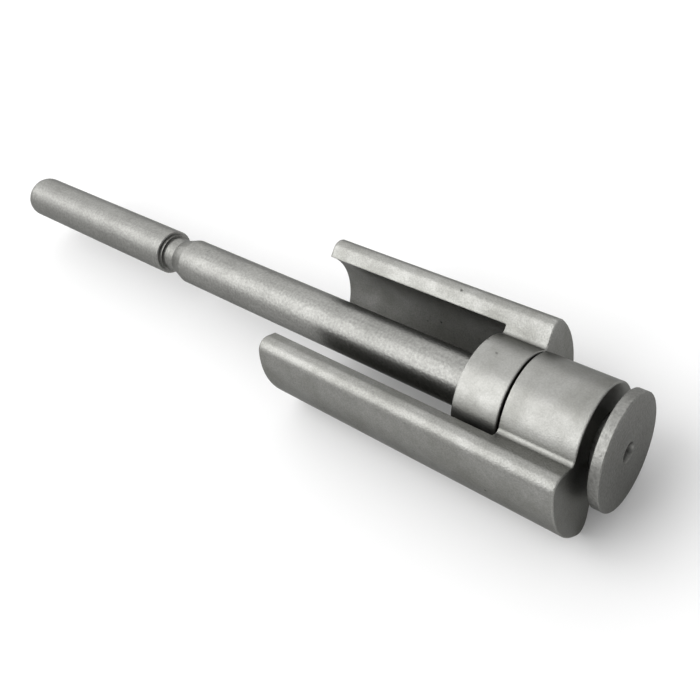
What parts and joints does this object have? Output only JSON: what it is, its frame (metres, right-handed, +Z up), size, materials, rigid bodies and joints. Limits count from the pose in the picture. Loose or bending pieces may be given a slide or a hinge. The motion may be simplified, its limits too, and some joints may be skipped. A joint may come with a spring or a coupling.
{
  "type": "hinge pin door stop",
  "caption": "Hinge pin door stop: a grooved steel pin with a flat head that carries loose collars with curved stop arms beside the hinge barrel.",
  "frame": {"origin": "on the pin's axis, in the plane of the lower collar's seat face, which sits on top of the hinge barrel", "axes": "+X along the pin from its tip to its head, +Z up as the stop lies on the lower edges of its two arms, the upper collar's arm on the -Y side"},
  "size_m": [0.133, 0.0262, 0.0176],
  "materials": {
    "pin_steel": "satin, turned",
    "arm_steel": "satin, blasted casting"
  },
  "bodies": {
    "pin": {"hinge_pin": "pin_steel"},
    "lower_arm": {"lower_stop_arm": "arm_steel"},
    "upper_arm": {"upper_stop_arm": "arm_steel"}
  },
  "joints": [
    {"name": "lower_arm_turn", "type": "hinge", "parent": "pin", "child": "lower_arm", "pos_m": [0.00345, 0, 0], "axis": [1, 0, 0], "continuous": true},
    {"name": "upper_arm_turn", "type": "hinge", "parent": "lower_arm", "child": "upper_arm", "pos_m": [0.0128, 0, 0], "axis": [1, 0, 0], "range_deg": [-112.5, 76.5]}
  ]
}
